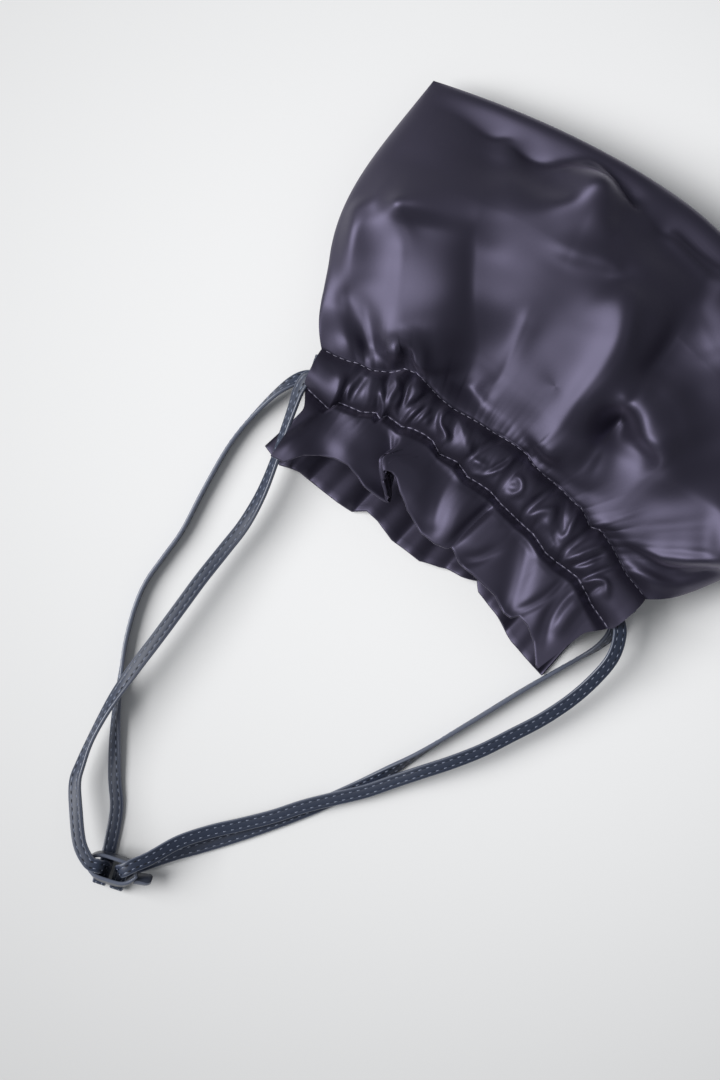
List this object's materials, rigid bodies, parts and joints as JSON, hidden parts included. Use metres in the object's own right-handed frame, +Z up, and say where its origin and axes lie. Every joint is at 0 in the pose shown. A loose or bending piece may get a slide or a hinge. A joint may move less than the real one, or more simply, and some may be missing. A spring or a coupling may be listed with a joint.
{
  "type": "drawstring pouch",
  "caption": "Satin kinchaku pouch lying filled on a table, with a gathered casing, a ruffled frill and looped flat leather drawstrings held by a leather slider.",
  "frame": {"origin": "on the table, under the middle of the cloth's bounding box", "axes": "+Z up, +Y from the mouth to the bottom seam, +X along the bottom seam"},
  "size_m": [0.246, 0.3899, 0.0537],
  "materials": {
    "satin": "polyester satin",
    "strap_leather": "smooth, stitched, with painted edges",
    "slider_leather": "smooth with painted edges"
  },
  "bodies": {
    "root": {"front_panel": "satin", "back_panel": "satin", "left_drawstring": "strap_leather", "right_drawstring": "strap_leather", "slider": "slider_leather"}
  },
  "joints": []
}
